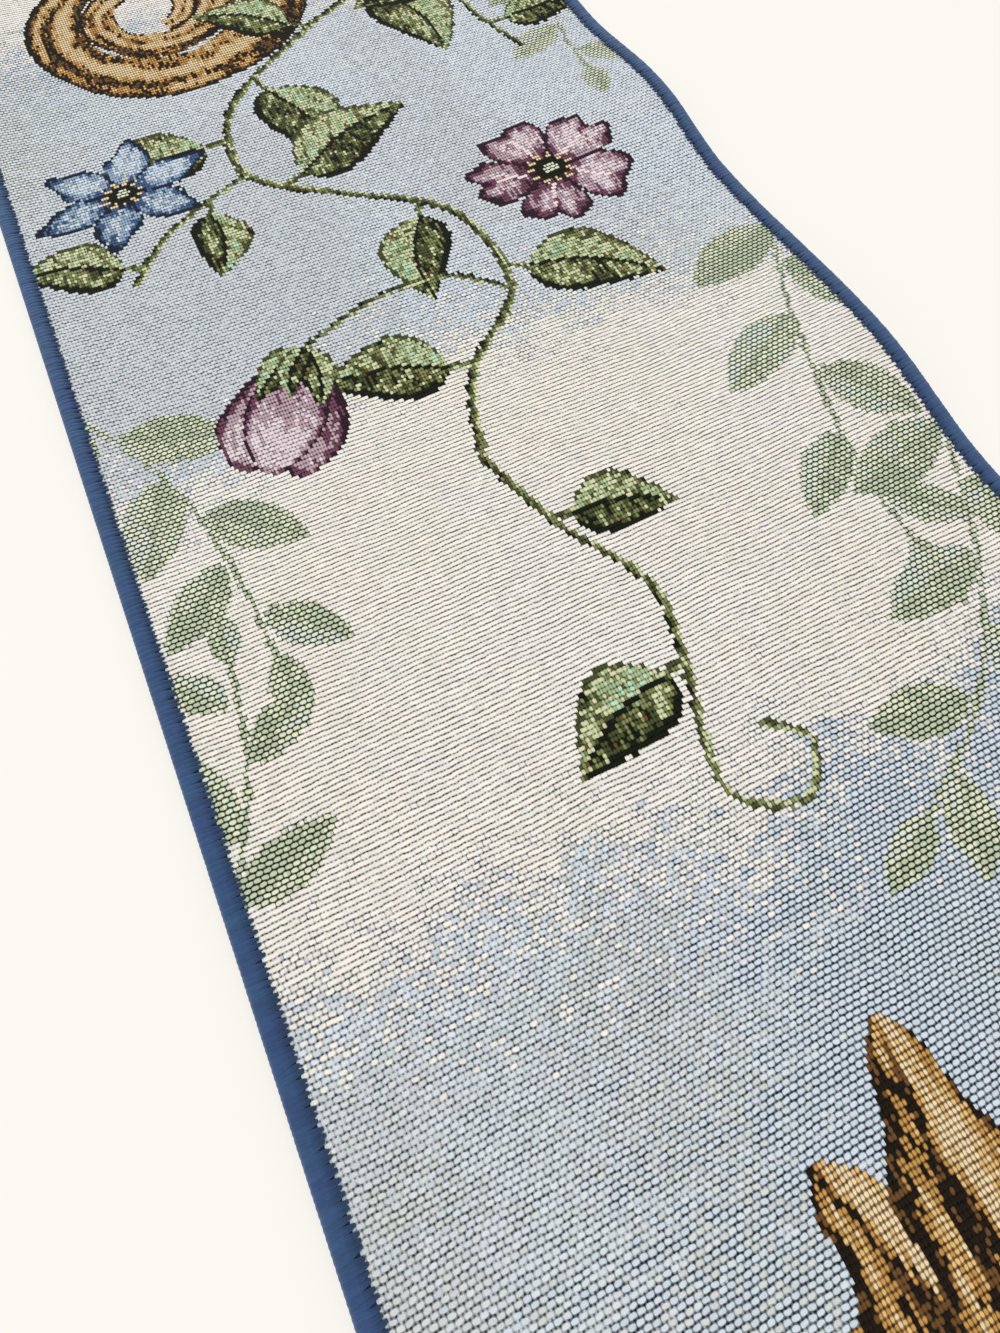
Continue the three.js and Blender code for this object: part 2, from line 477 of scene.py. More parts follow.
def paint_vine(chart, points, width, spacing, leaf_length, side):
    """A stem with leaves on alternate sides, the first on the given side."""
    paint_stroke(chart, points, width, STEM)
    walked = spacing / 2
    path = smooth_path(points, 1)
    for start, end in zip(path, path[1:]):
        walked += math.dist(start, end)
        if walked < spacing:
            continue
        walked = 0
        longer, turned, wider = chart.rng.uniform(-1, 1, 3)
        turn = heading(start, end) + side * (VINE_TURN + 12 * turned)
        stalk = step_on(end, turn, leaf_length * 0.2)
        length = leaf_length * (1 + 0.16 * longer)
        paint_stroke(chart, [end, stalk], 2.0, STEM[1:4])
        paint_leaf(chart, stalk, turn, length, length * (0.70 + 0.06 * wider), side)
        side = -side


# A blossom's form: how many petals, how deep the notch in each one's rim and how pointed
# its tip, then its shades and the yarn pairs of its veins and flecks.
BlossomForm = namedtuple("BlossomForm", "petals notch point names vein fleck")
WILD_ROSE = BlossomForm(5, 0.12, 0.0, MAUVE, "pink_rib", "rose")
STARFLOWER = BlossomForm(6, 0.0, 1.0, BLUE, "sky_light", "mint_rib")

# The middle of a blossom, in shares of its radius, and how many stamens it has.
THROAT = 0.21
STAMEN_RING = 0.24
DISC = 0.09
STAMENS = 11


def petal_reach(form, petal, side, angle):
    """How far a petal reaches out from the blossom's middle, as a share of its radius."""
    reach = 0.50 + 0.50 * np.sqrt(np.clip(1 - np.abs(side) ** (3.2 - 1.6 * form.point), 0, 1))
    reach = reach - form.notch * np.exp(-((side / 0.22) ** 2))
    reach = reach + form.point * 0.22 * np.exp(-((side / 0.3) ** 2))
    return reach * (1 + 0.03 * np.sin(angle * 17 + petal))


def petal_tone(out, rim, side, angle):
    """A petal's shading: dark at its rim, its sides and the throat, and lit from one side."""
    tone = 0.76 - 0.66 * rise(rim, 0.74, 1) ** 1.4
    tone = tone - 0.66 * (1 - rise(out, 0.14, 0.50))
    tone = tone - 0.42 * rise(np.abs(side), 0.60, 1)
    tone = tone - 0.18 * np.sin(np.abs(side) * 11 + 1.4) * np.clip(rim, 0, 1)
    return tone + 0.12 * np.cos(angle - 0.7)


def paint_blossom(chart, middle, turn, radius, squash, form):
    """An open blossom of separate petals. squash foreshortens it along its turn."""
    window = chart.window(*middle, radius * 1.3)
    along, across = chart.local(window, *middle, turn)
    along = along / squash
    out = np.hypot(along, across) / radius
    angle = np.arctan2(across, along)
    sector = 2 * math.pi / form.petals
    petal = np.floor(angle / sector)
    side = (angle / sector - petal) * 2 - 1  # -1 to 1 across one petal
    rim = out / petal_reach(form, petal, side, angle)
    inside = rim < 1
    outline = form.names[0]
    seam = (np.abs(side) > 0.95 - 0.025 / np.maximum(out, 0.1)) & (out > 0.2)
    vein = np.abs(side + 0.05 * np.sin(out * 9)) < 0.045 / np.maximum(out, 0.25)
    flecked = (chart.speck[window] > 0.97) & (rim > 0.5)
    throat = out < THROAT + 0.03 * np.sin(angle * 7)
    stamens = (np.abs(out - STAMEN_RING) < 0.05) & (np.cos(angle * STAMENS) > 0.25)
    chart.shade(window, inside, petal_tone(out, rim, side, angle), form.names, spread=1.7)
    chart.fill(window, inside & vein & (out > 0.30) & (rim < 0.80), form.vein)
    chart.fill(window, inside & (seam | (rim > 1 - 1.6 / radius)), outline)
    chart.fill(window, inside & flecked, form.fleck)
    chart.fill(window, throat, "leaf_black")
    chart.fill(window, stamens, "ochre_light")
    chart.fill(window, out < DISC, "sprig_lime")


# Petals of a bud, from the back to the front: how far each is off the middle, as a share of
# the bud's width, and its tone at the stalk and at the tip.
BudPetal = namedtuple("BudPetal", "offset low high")
BUD_PETALS = (BudPetal(-0.24, 0.20, 0.75), BudPetal(0.24, 0.25, 0.85), BudPetal(0.0, 0.35, 1.0))


def paint_bud(chart, stalk, turn, length, width, names):
    """A half-open bud: three overlapping petals in a cup of small leaves."""
    window, along, across = chart.leaf_patch(stalk, turn, length)
    t = along / length
    for offset, low, high in BUD_PETALS:
        middle = offset * width * np.clip(t * 1.4, 0, 1)
        half = 0.36 * width * np.sin(np.pi * np.clip(t * 0.93 + 0.05, 0, 1) ** 1.15) ** 0.7
        out = np.abs(across - middle) / np.maximum(half, 0.1)
        inside = (t > 0.08) & (t < 1) & (out < 1)
        tone = low + (high - low) * t - 0.55 * rise(out, 0.7, 1)
        tone = tone - 0.5 * rise(t, 0.9, 1)
        chart.shade(window, inside, tone, names, spread=1.7)
        chart.fill(window, inside & (out > 1 - 2.0 / width), names[0])
    for side in (-1, 1):
        paint_leaf(chart, stalk, turn + side * 24, length * 0.52, width * 0.40, side)
    paint_leaf(chart, stalk, turn, length * 0.42, width * 0.32, 1)


SCROLL_WINDINGS = 2.4


def paint_scroll(chart, middle, turn, radius, width, hand):
    """A volute of carved strands that narrows as it winds in. hand is 1 or -1."""
    window = chart.window(*middle, radius + width)
    along, across = chart.local(window, *middle, turn)
    distance = np.hypot(along, across)
    first_winding = np.arctan2(across * hand, along) / (2 * math.pi) + 0.5
    inside = np.zeros(distance.shape, bool)
    tone = np.zeros(distance.shape)
    grain = soft_field(chart.rng, distance.shape, (5, 8))
    hairs = soft_field(chart.rng, distance.shape, (2, 1.4))
    for winding in range(math.ceil(SCROLL_WINDINGS)):
        wound = first_winding + winding
        half = width / 2 * np.exp(-0.50 * wound) * (1 + 0.14 * np.abs(np.sin(wound * 16)))
        out = (distance - radius * np.exp(-0.62 * wound)) / half
        here = (np.abs(out) < 1) & (wound < SCROLL_WINDINGS)
        strands = np.sin(out * 7.0 + wound * 5 + grain)
        carved = 0.72 + 0.30 * strands - 0.24 * out + 0.18 * grain + 0.16 * hairs
        carved = carved - 0.75 * rise(np.abs(out), 0.60, 1)
        tone = np.where(here, carved, tone)
        inside |= here
    chart.shade(window, inside, tone, OCHRE, spread=3.0)


FAN_SPREAD = 34  # degrees from the middle lobe to the outermost


def paint_acanthus(chart, tip, turn, length, width, lobes):
    """A fan of pointed acanthus lobes, from their tips back towards their root."""
    middle = step_on(tip, turn, length / 2)
    root = step_on(tip, turn, length)
    window = chart.window(*middle, length * 0.8)
    back, sideways = chart.local(window, *root, turn + 180)
    grain = soft_field(chart.rng, back.shape, (12, 4))
    grain = grain + soft_field(chart.rng, back.shape, (9, 1.3))
    outermost = (lobes - 1) / 2
    for lobe in sorted(range(lobes), key=lambda number: -abs(number - outermost)):
        lean = (lobe - outermost) / outermost
        sine = math.sin(math.radians(FAN_SPREAD * lean))
        cosine = math.cos(math.radians(FAN_SPREAD * lean))
        reach = length * (1 - 0.34 * abs(lean))
        along = back * cosine + sideways * sine
        t = np.clip(along / reach, 0, 1)
        across = sideways * cosine - back * sine - 0.14 * lean * width * t**2
        half = 0.85 * width / lobes * np.sin(np.pi * t**0.9) ** 0.7 * (1 + 0.12 * np.sin(t * 22))
        side = across / np.maximum(half, 0.1)
        out = np.abs(side)
        inside = (along > 0) & (along < reach) & (out < 1)
        tone = 0.88 + 0.22 * side - 0.28 * (1 - t) + 0.18 * grain
        tone = tone - 0.50 * rise(out, 0.62, 1)
        tone = tone - 0.50 * np.exp(-(((side + 0.15) / 0.16) ** 2))
        chart.shade(window, inside, tone, OCHRE, spread=2.4)
        dark = inside & (out > 0.93 - 0.16 * (side < 0))
        chart.shade(window, dark, 0.15, OCHRE, spread=4.0)


Sprig = namedtuple("Sprig", "points leaf_length")
SPRIGS = (
    Sprig(((-99, 112), (-84, 86), (-76, 56), (-74, 28)), 31),
    Sprig(((-99, -20), (-88, 6), (-84, 30)), 24),
    Sprig(((99, 92), (84, 60), (74, 24), (72, -10)), 32),
    Sprig(((99, 14), (84, -18), (60, -48), (34, -64)), 31),
    Sprig(((99, 236), (90, 206), (86, 178)), 27),
    Sprig(((-99, -170), (-80, -200), (-72, -240)), 30),
    Sprig(((99, -190), (84, -225), (70, -262), (66, -296)), 31),
    Sprig(((-99, -290), (-82, -320), (-74, -352)), 29),
    Sprig(((99, 330), (84, 300), (60, 280)), 28),
    Sprig(((-99, 380), (-84, 350), (-78, 318)), 29),
)

Vine = namedtuple("Vine", "points width spacing leaf_length side")
VINES = (
    Vine(((62, 300), (44, 262), (8, 238), (-24, 212), (-30, 180), (-4, 158)), 2.8, 31, 39, 1),
    Vine(((-4, 158), (20, 138), (22, 104), (0, 82), (-10, 56)), 2.6, 38, 35, 1),
    Vine(((-30, 180), (-58, 166), (-72, 150)), 2.2, 30, 30, -1),
    Vine(((-10, 56), (-2, 30), (10, 6), (4, -22)), 2.2, 48, 29, -1),
    Vine(((60, 292), (76, 262), (66, 232), (74, 200)), 2.2, 32, 33, -1),
    Vine(((-60, -180), (-20, -200), (20, -190), (44, -220), (30, -260)), 2.7, 32, 37, 1),
    Vine(((30, -260), (-14, -280), (-20, -320), (10, -350)), 2.6, 36, 35, -1),
    Vine(((-40, 320), (-10, 340), (30, 336), (50, 364), (30, 396)), 2.6, 32, 35, -1),
)

Blossom = namedtuple("Blossom", "middle turn radius squash form")
BLOSSOMS = (
    Blossom((54, 142), 20, 26, 0.88, WILD_ROSE),
    Blossom((-66, 188), -15, 23, 0.82, STARFLOWER),
    Blossom((0, -232), 40, 25, 0.88, WILD_ROSE),
    Blossom((-52, -256), 10, 22, 0.85, STARFLOWER),
    Blossom((-24, 368), 0, 24, 0.84, WILD_ROSE),
)

Bud = namedtuple("Bud", "stalk turn length width names")
BUDS = (
    Bud((-38, 108), 212, 40, 30, MAUVE),
    Bud((44, -300), 140, 34, 25, BLUE),
)

Scroll = namedtuple("Scroll", "middle turn radius width hand")
SCROLLS = (
    Scroll((-34, 274), 200, 50, 24, 1),
    Scroll((46, -150), 20, 46, 22, -1),
    Scroll((-46, -404), 200, 42, 20, 1),
    Scroll((44, -408), 160, 38, 18, -1),
)

Acanthus = namedtuple("Acanthus", "tip turn length width lobes")
ACANTHUS = (
    Acanthus((2, -88), 186, 74, 74, 5),
    Acanthus((4, 450), 180, 60, 62, 5),
)

# Stalks that no leaf grows from.
Tendril = namedtuple("Tendril", "points width names")
TENDRILS = (
    Tendril(((22, 104), (6, 116), (-16, 116), (-38, 108)), 2.0, STEM),
    Tendril(((4, -22), (0, -42), (14, -50), (22, -40), (14, -32)), 1.8, STEM[1:]),
)


def paint_design(chart):
    """The whole design: ground first, then the motifs from the back to the front."""
    paint_ground(chart)
    for paint, motifs in (
        (paint_sprig, SPRIGS),
        (paint_scroll, SCROLLS),
        (paint_acanthus, ACANTHUS),
        (paint_vine, VINES),
        (paint_stroke, TENDRILS),
        (paint_bud, BUDS),
        (paint_blossom, BLOSSOMS),
    ):
        for motif in motifs:
            paint(chart, *motif)


# ---------------------------------------------------------------------------------------
# Settings
# ---------------------------------------------------------------------------------------


def length_setting(name, description, default, least):
    """A length that a user can change."""
    return FloatProperty(
        name=name, description=description, default=default, min=least, unit="LENGTH"
    )


def colour_setting(name, description, hex_colour):
    """A colour that a user can change."""
    return FloatVectorProperty(
        name=name,
        description=description,
        default=linear(hex_colour),
        min=0,
        max=1,
        subtype="COLOR",
    )


class WeaveSettings(bpy.types.PropertyGroup):
    """Sizes of the tapestry's weave."""

    stitch: length_setting("Stitch", "Width of one float of the weft", 1.586 * MM, 0.5 * MM)
    row: length_setting("Row", "Height of one row of floats", 1.18 * MM, 0.4 * MM)
    relief: length_setting(
        "Relief", "How far the floats stand above the gaps between them", 0.22 * MM, 0
    )
    seed: IntProperty(
        name="Seed",
        description="Picks the ragged edges and flecks of the design",
        default=7,
        min=0,
    )


class YarnColours(bpy.types.PropertyGroup):
    """Two colours for each yarn pair: its face and its gap."""


for pair in YARN_PAIRS:
    for part in ("face", "gap"):
        YarnColours.__annotations__[f"{pair.name}_{part}"] = colour_setting(
            f"{pair.name.replace('_', ' ').capitalize()} {part}",
            f"Colour of the {part} of this yarn pair",
            getattr(pair, part),
        )


class EdgingSettings(bpy.types.PropertyGroup):
    """Sizes and colours of the overlocked edging."""

    pitch: length_setting(
        "Stitch pitch", "Distance from one overlock stitch to the next", 1.18 * MM, 0.5 * MM
    )
    thread: colour_setting("Thread", "Colour of the overlock thread", "#2F4B73")
    fluff: colour_setting("Thread fluff", "Tint of the light in the thread's fluff", "#D3E7FF")
    # The lower layer's colour is darker than the thread's: painted shade between the stitches.
    shadow: colour_setting(
        "Thread underneath, in painted shade", "Colour of the lower layer of thread, between the stitches", "#1A2D4D"
    )
    seed: IntProperty(
        name="Seed",
        description="Picks how the stitches differ",
        default=3,
        min=0,
    )


class StageSettings(bpy.types.PropertyGroup):
    """The floor and the light."""

    floor: colour_setting("Floor", "Colour of the floor", "#FBF8F1")
    floor_glow: FloatProperty(
        name="Floor glow",
        description="Strength of the light that the floor gives off",
        default=0.635,
        min=0,
    )
    sky_light: FloatProperty(
        name="Overall light",
        description="Strength of the light from all round",
        default=0.95,
        min=0,
    )
    window_light: FloatProperty(
        name="Window light",
        description="Power of the large soft light at the strip's upper left",
        default=5.0,
        min=0,
        unit="POWER",
    )


# ---------------------------------------------------------------------------------------
# Materials
# ---------------------------------------------------------------------------------------

HALVES_PER_FACE = 4  # half stitches across one face of the cloth's mesh
ROWS_PER_FACE = 2
FLAT_MAP = "flat"  # the UV map that gives a place on the flat cloth, in metres
THREAD_MAP = "thread"  # along a stitch and round it in metres, and the stitch's number

FLOAT_STRAY = (0.5, 0.42, 0)  # how far floats stray, in half stitches and rows
DYE_PATCH = 60 * MM  # how far apart the cloth's warmer and cooler patches are
TINT_PATCH = 14 * MM  # how far apart its smaller blotches are
FILAMENT_CRIMP = 2.2 * MM  # how far a streak runs on along the overlock thread
FILAMENT_WIDTH = 0.16 * MM
# From FOOT_SHADE_START to FOOT_SHADE_END along a stitch, its colour is darkened as painted shade
# at its foot on the face.
FOOT_SHADE_START = 4.8 * MM  # along a stitch, where it dips towards its foot on the face
FOOT_SHADE_END = 6.2 * MM
BACK_FLOATS = (0.12, 2, 0)  # how many floats of the back there are to a half stitch and a row
NOISE_STEP = 7.3  # between one line or stitch and the next in a noise, so that each has its own

SMOOTH = "SMOOTHSTEP"

# The sockets of a Mix node share their names, so they go by number: the two values that
# it mixes, or the two colours, and the mixed colour.
VALUE_A, VALUE_B = 2, 3
COLOUR_A, COLOUR_B = 6, 7
MIXED_COLOUR = 2


def add_node(tree, kind, links=None, **settings):
    """Adds a shader node with its settings, and sets or links its sockets.

    A socket that is given a node is linked to that node's first output.
    """
    node = tree.nodes.new("ShaderNode" + kind)
    for name, value in settings.items():
        setattr(node, name, value)
    for socket, value in (links or {}).items():
        if isinstance(value, bpy.types.Node):
            value = value.outputs[0]
        if isinstance(value, bpy.types.NodeSocket):
            tree.links.new(value, node.inputs[socket])
        else:
            node.inputs[socket].default_value = value
    return node


def new_material(name):
    """A material whose node tree holds nothing yet."""
    material = bpy.data.materials.new(name)
    material.use_nodes = True
    material.node_tree.nodes.clear()
    return material, material.node_tree


def fill_ramp(ramp, places, colours):
    """Sets a ramp's stops to colours that change sharply at the given places."""
    ramp.interpolation = "CONSTANT"
    while len(ramp.elements) < len(colours):
        ramp.elements.new(1)
    for stop, place, colour in zip(ramp.elements, places, colours):
        stop.position = place
        stop.color = colour


def yarn_ramp(tree, number, part, colours):
    """The face or gap colours of the yarn pairs, looked up by their number.

    The ramp's alpha says how far each pair's gap is veiled.
    """
    ramp = add_node(tree, "ValToRGB", {"Fac": number})
    places = [step / RAMP_STEPS for step in range(len(YARN_PAIRS))]
    stops = [(*getattr(colours, f"{pair.name}_{part}"), pair.veil) for pair in YARN_PAIRS]
    fill_ramp(ramp.color_ramp, places, stops)
    return ramp


def yarn_number(tree, cell):
    """The yarn pair of a cell, as a step of the ramps, and whether its row is an odd one.

    A face of the mesh holds two rows of four half stitches: one attribute for each row,
    with a half stitch in each of its four channels.
    """
    place = add_node(
        tree,
        "VectorMath",
        {0: cell, 1: (HALVES_PER_FACE, ROWS_PER_FACE, 1)},
        operation="MODULO",
    )
    place = add_node(tree, "SeparateXYZ", {"Vector": place})
    is_odd = place.outputs["Y"]
    even = add_node(tree, "Attribute", attribute_name="yarns_even")
    odd = add_node(tree, "Attribute", attribute_name="yarns_odd")
    three = add_node(
        tree,
        "Mix",
        {"Factor": is_odd, COLOUR_A: even.outputs["Color"], COLOUR_B: odd.outputs["Color"]},
        data_type="RGBA",
    )
    three = add_node(tree, "SeparateColor", {"Color": three.outputs[MIXED_COLOUR]})
    fourth = add_node(
        tree,
        "Mix",
        {"Factor": is_odd, VALUE_A: even.outputs["Alpha"], VALUE_B: odd.outputs["Alpha"]},
    )
    number, *others = (*three.outputs, fourth)
    for quarter, channel in enumerate(others, start=1):
        here = add_node(
            tree, "Math", {0: place.outputs["X"], 1: quarter, 2: 0.25}, operation="COMPARE"
        )
        number = add_node(tree, "Mix", {"Factor": here, VALUE_A: number, VALUE_B: channel})
    return number, is_odd


def off_middle(tree, value):
    """0 in the middle of each unit of a value and 1 at its ends."""
    part = add_node(tree, "Math", {0: value}, operation="FRACT")
    part = add_node(tree, "Math", {0: part, 1: 2, 2: -1}, operation="MULTIPLY_ADD")
    return add_node(tree, "Math", {0: part}, operation="ABSOLUTE")


def stray_place(tree, grid):
    """A place on the weave's grid, where the floats stray a little from their cells."""
    stray = add_node(tree, "TexNoise", {"Vector": grid, "Scale": 0.55, "Detail": 1})
    stray = add_node(
        tree, "VectorMath", {0: stray.outputs["Color"], 1: (0.5, 0.5, 0.5)}, operation="SUBTRACT"
    )
    place = add_node(
        tree, "VectorMath", {0: stray, 1: FLOAT_STRAY, 2: grid}, operation="MULTIPLY_ADD"
    )
    return add_node(tree, "SeparateXYZ", {"Vector": place})


# How a float covers its cell: out to `full` from its middle all of its yarn shows, and past
# `bare` none does. `blunt` and `next_row` shape its outline: how square its ends are, and how
# much the nearness of the next row counts beside them. A rib runs on and has no ends.
Cover = namedtuple("Cover", "full bare blunt next_row", defaults=(None, None))
RIB_COVER = Cover(0.46, 0.94)
BRICK_COVER = Cover(0.35, 1.15, 3, 1.45)
DOT_COVER = Cover(0.30, 1.15, 1.9, 1.35)


def face_cover(tree, number, to_end, to_next_half, to_next_row):
    """How much of the face yarn shows, in the structure of the yarn pair at a cell."""
    flat_top = add_node(tree, "Math", {0: to_next_row, 1: 2.2}, operation="POWER")
    rims = [(to_next_row, RIB_COVER.full, RIB_COVER.bare)]
    for to_side, cover in ((to_end, BRICK_COVER), (to_next_half, DOT_COVER)):
        side = add_node(tree, "Math", {0: to_side, 1: cover.blunt}, operation="POWER")
        rim = add_node(
            tree, "Math", {0: flat_top, 1: cover.next_row, 2: side}, operation="MULTIPLY_ADD"
        )
        rims.append((rim, cover.full, cover.bare))
    rib, brick, dot = (
        add_node(
            tree,
            "MapRange",
            {"Value": rim, "From Min": full, "From Max": bare, "To Min": 1, "To Max": 0},
            interpolation_type=SMOOTH,
        )
        for rim, full, bare in rims
    )
    shown = rib
    pairs_before = 0
    for structure, covered in ((RIB, brick), (BRICK, dot)):
        pairs_before += sum(pair.structure == structure for pair in YARN_PAIRS)
        is_past = add_node(
            tree, "Math", {0: number, 1: pairs_before / RAMP_STEPS}, operation="GREATER_THAN"
        )
        shown = add_node(tree, "Mix", {"Factor": is_past, VALUE_A: shown, VALUE_B: covered})
    return shown


def gap_veil(tree, place, to_next_half, to_next_row, most):
    """How far loose fibres veil the gap between two rows, here more and there less.

    The warp, with the painted shade of the gap, shows through as round dark spots where two
    floats of a row end, at every half stitch.
    """
    half_away = add_node(tree, "Math", {0: 1, 1: to_next_half}, operation="SUBTRACT")
    row_away = add_node(tree, "Math", {0: 1, 1: to_next_row}, operation="SUBTRACT")
    from_spot = add_node(tree, "CombineXYZ", {"X": half_away, "Y": row_away})
    from_spot = add_node(
        tree, "VectorMath", {0: from_spot, 1: (1, 1.35, 0)}, operation="MULTIPLY"
    )
    from_spot = add_node(tree, "VectorMath", {0: from_spot}, operation="LENGTH")
    off_spot = add_node(
        tree,
        "MapRange",
        {"Value": from_spot.outputs["Value"], "From Min": 0.35, "From Max": 0.75},
        interpolation_type=SMOOTH,
    )
    line = add_node(tree, "Math", {0: place.outputs["Y"], 1: 0.5}, operation="ADD")
    line = add_node(tree, "Math", {0: line}, operation="FLOOR")
    along_line = add_node(tree, "CombineXYZ", {"X": place.outputs["X"], "Y": line, "Z": 0.5})
    along_line = add_node(
        tree, "VectorMath", {0: along_line, 1: (0.7, NOISE_STEP, 1)}, operation="MULTIPLY"
    )
    depth = add_node(tree, "TexNoise", {"Vector": along_line, "Scale": 1, "Detail": 1})
    veil = add_node(
        tree,
        "MapRange",
        {"Value": depth, "From Min": 0.3, "From Max": 0.7, "To Min": 0.95, "To Max": 0.25},
    )
    spot_veil = add_node(
        tree,
        "MapRange",
        {"Value": depth, "From Min": 0.25, "From Max": 0.6, "To Min": 0.35, "To Max": 0},
    )
    veil = add_node(tree, "Mix", {"Factor": off_spot, VALUE_A: spot_veil, VALUE_B: veil})
    return add_node(tree, "Math", {0: veil, 1: most}, operation="MULTIPLY")


def float_tone(tree, flat, stitch, row, fibre, face):
    """The face yarn's colour, with what makes one float differ from the next.

    Each float has its own lightness and a trace of its own tint, its fibres streak it, and
    both drift over wider patches as the yarn's dye does.
    """
    number = add_node(tree, "CombineXYZ", {"X": stitch, "Y": row, "Z": 0.5})
    number = add_node(tree, "VectorMath", {0: number}, operation="FLOOR")
    lot = add_node(tree, "TexWhiteNoise", {"Vector": number})
    own = add_node(tree, "MapRange", {"Value": lot, "To Min": 0.93, "To Max": 1.05})
    value = add_node(tree, "Math", {0: own, 1: fibre}, operation="MULTIPLY")
    face = add_node(tree, "HueSaturation", {"Value": value, "Color": face})

    dye_lot = add_node(tree, "TexNoise", {"Vector": flat, "Scale": 1 / DYE_PATCH, "Detail": 2})
    dye_lot = add_node(tree, "MapRange", {"Value": dye_lot, "From Min": 0.35, "From Max": 0.65})
    face = add_node(
        tree,
        "Mix",
        {"Factor": dye_lot, COLOUR_A: face, COLOUR_B: (1, 0.985, 0.95, 1)},
        data_type="RGBA",
        blend_type="MULTIPLY",
    )
    blotch = add_node(tree, "TexNoise", {"Vector": flat, "Scale": 1 / TINT_PATCH, "Detail": 2})
    tint = add_node(
        tree,
        "Mix",
        {"Factor": 0.3, COLOUR_A: blotch.outputs["Color"], COLOUR_B: lot.outputs["Color"]},
        data_type="RGBA",
    )
    tint = add_node(
        tree,
        "VectorMath",
        {0: tint.outputs[MIXED_COLOUR], 1: (0.10, 0.08, 0.10), 2: (0.95, 0.96, 0.95)},
        operation="MULTIPLY_ADD",
    )
    return add_node(
        tree, "VectorMath", {0: face.outputs[MIXED_COLOUR], 1: tint}, operation="MULTIPLY"
    )


def weave_grid(tree, flat, columns, rows):
    """A place on the flat cloth, counted in half stitches and rows."""
    per_metre = (columns / CLOTH_WIDTH, rows / CLOTH_LENGTH, 0)
    return add_node(tree, "VectorMath", {0: flat, 1: per_metre}, operation="MULTIPLY")


def tapestry_material(weave, colours, columns, rows):
    """Jacquard tapestry in mercerised cotton: floats of coloured weft over a dark warp.

    The eye sees matt pale floats with dark gaps between them, which blend into soft
    tones from afar. The gaps' colours are the warp's, with painted shade in them for the
    shade deep between the floats.
    """
    material, tree = new_material("Jacquard tapestry, woven cotton")
    flat = add_node(tree, "UVMap", uv_map=FLAT_MAP)
    grid = weave_grid(tree, flat, columns, rows)
    cell = add_node(tree, "VectorMath", {0: grid}, operation="FLOOR")
    number, is_odd = yarn_number(tree, cell)
    face = yarn_ramp(tree, number, "face", colours)
    gap = yarn_ramp(tree, number, "gap", colours)

    place = stray_place(tree, grid)
    shifted = add_node(tree, "Math", {0: place.outputs["X"], 1: is_odd}, operation="ADD")
    stitch = add_node(tree, "Math", {0: shifted, 1: 0.5}, operation="MULTIPLY")
    to_end = off_middle(tree, stitch)
    to_next_half = off_middle(tree, place.outputs["X"])
    to_next_row = off_middle(tree, place.outputs["Y"])

    veil = gap_veil(tree, place, to_next_half, to_next_row, gap.outputs["Alpha"])
    between = add_node(
        tree, "Mix", {"Factor": veil, COLOUR_A: gap, COLOUR_B: face}, data_type="RGBA"
    )
    fibre = add_node(
        tree, "TexNoise", {"Vector": grid, "Scale": 5, "Detail": 3, "Roughness": 0.7}
    )
    fibre = add_node(
        tree,
        "MapRange",
        {"Value": fibre, "From Min": 0.3, "From Max": 0.7, "To Min": 0.86, "To Max": 1.08},
    )
    face = float_tone(tree, flat, stitch, place.outputs["Y"], fibre, face)
    shown = face_cover(tree, number, to_end, to_next_half, to_next_row)
    colour = add_node(
        tree,
        "Mix",
        {"Factor": shown, COLOUR_A: between.outputs[MIXED_COLOUR], COLOUR_B: face},
        data_type="RGBA",
    )
    height = add_node(tree, "Math", {0: shown, 1: fibre}, operation="MULTIPLY")
    bump = add_node(
        tree, "Bump", {"Height": height, "Distance": weave.relief, "Strength": 0.8}
    )
    surface = add_node(
        tree,
        "BsdfPrincipled",
        {
            "Base Color": colour.outputs[MIXED_COLOUR],
            "Roughness": 0.9,
            "Specular IOR Level": 0.1,
            "Sheen Weight": 0.03,
            "Normal": bump,
        },
    )
    add_node(tree, "OutputMaterial", {"Surface": surface})
    return material


def reverse_material(columns, rows):
    """The back of the tapestry: long loose floats of every yarn, in no clear picture.

    The eye sees broken stripes across the strip, duller and rougher than the face.
    """
    material, tree = new_material("Tapestry reverse, loose cotton floats")
    flat = add_node(tree, "UVMap", uv_map=FLAT_MAP)
    grid = weave_grid(tree, flat, columns, rows)
    long_floats = add_node(tree, "VectorMath", {0: grid, 1: BACK_FLOATS}, operation="MULTIPLY")
    pick = add_node(tree, "VectorMath", {0: long_floats}, operation="FLOOR")
    pick = add_node(tree, "TexWhiteNoise", {"Vector": pick})
    patch = add_node(tree, "TexNoise", {"Vector": grid, "Scale": 0.03, "Detail": 1})
    blend = add_node(tree, "Mix", {"Factor": 0.45, VALUE_A: pick, VALUE_B: patch})
    ramp = add_node(tree, "ValToRGB", {"Fac": blend})
    stripes = ("#20242C", "#5C4630", "#5E7352", "#8C98AC", "#C9B48E", "#E4DCCB")
    stops = [(*linear(stripe), 1) for stripe in stripes]
    fill_ramp(ramp.color_ramp, (0, 0.30, 0.38, 0.46, 0.55, 0.64), stops)
    rows_apart = add_node(tree, "SeparateXYZ", {"Vector": long_floats})
    edge = off_middle(tree, rows_apart.outputs["Y"])
    # Each back float darkens towards its edges, where it dips into the next: painted shade there,
    # beside the bump's real dip.
    height, shade = (
        add_node(
            tree,
            "MapRange",
            {"Value": edge, "From Min": full, "From Max": 1, "To Min": 1, "To Max": least},
            interpolation_type=SMOOTH,
        )
        for full, least in ((0.4, 0), (0.5, 0.5))
    )
    colour = add_node(
        tree, "HueSaturation", {"Value": shade, "Saturation": 0.8, "Color": ramp}
    )
    bump = add_node(tree, "Bump", {"Height": height, "Distance": 0.2 * MM, "Strength": 0.8})
    surface = add_node(
        tree,
        "BsdfPrincipled",
        {"Base Color": colour, "Roughness": 0.92, "Specular IOR Level": 0.2, "Normal": bump},
    )
    add_node(tree, "OutputMaterial", {"Surface": surface})
    return material


